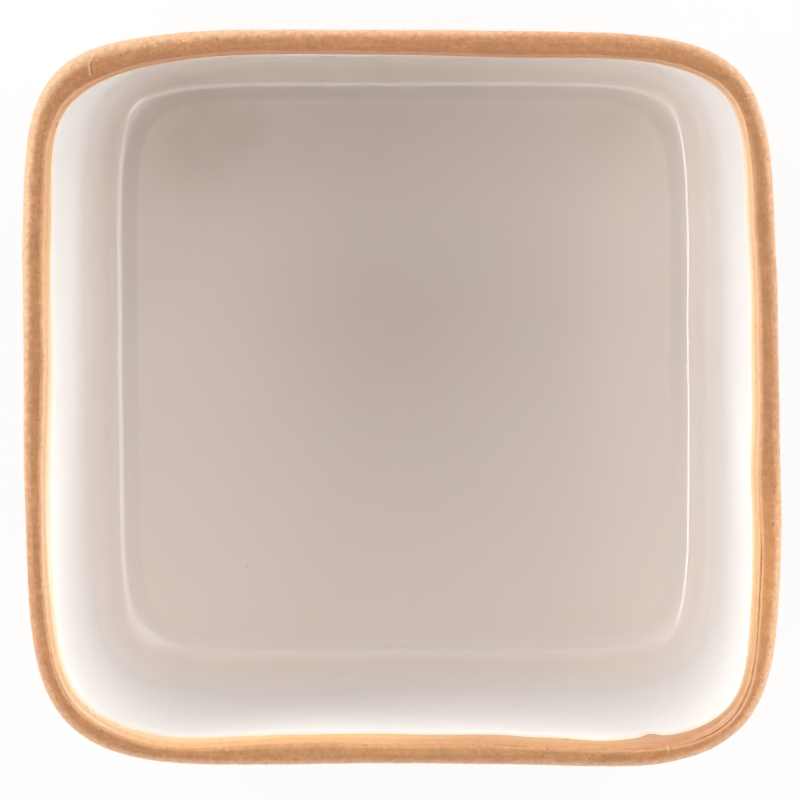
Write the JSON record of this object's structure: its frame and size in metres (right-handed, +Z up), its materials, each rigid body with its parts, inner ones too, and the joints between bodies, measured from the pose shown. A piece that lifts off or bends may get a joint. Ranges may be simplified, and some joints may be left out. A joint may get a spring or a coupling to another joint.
{
  "type": "square ramekin",
  "caption": "Square stoneware ramekin with rounded corners, a glossy white inside, a tan lip and outside, and a bare foot ring.",
  "frame": {"origin": "under the middle of the dish, on the surface that its foot stands on", "axes": "+Z up out of the dish; +X along its wider sides, to the right in the picture; +Y to the top of the picture"},
  "size_m": [0.1002, 0.0982, 0.048],
  "materials": {
    "fired_clay": "matte",
    "white_glaze": "gloss",
    "tan_glaze": "matte",
    "amber_glaze": "gloss"
  },
  "bodies": {
    "root": {"stoneware_body": "fired_clay", "white_glaze": "white_glaze", "tan_glaze": "tan_glaze", "amber_band": "amber_glaze"}
  },
  "joints": []
}
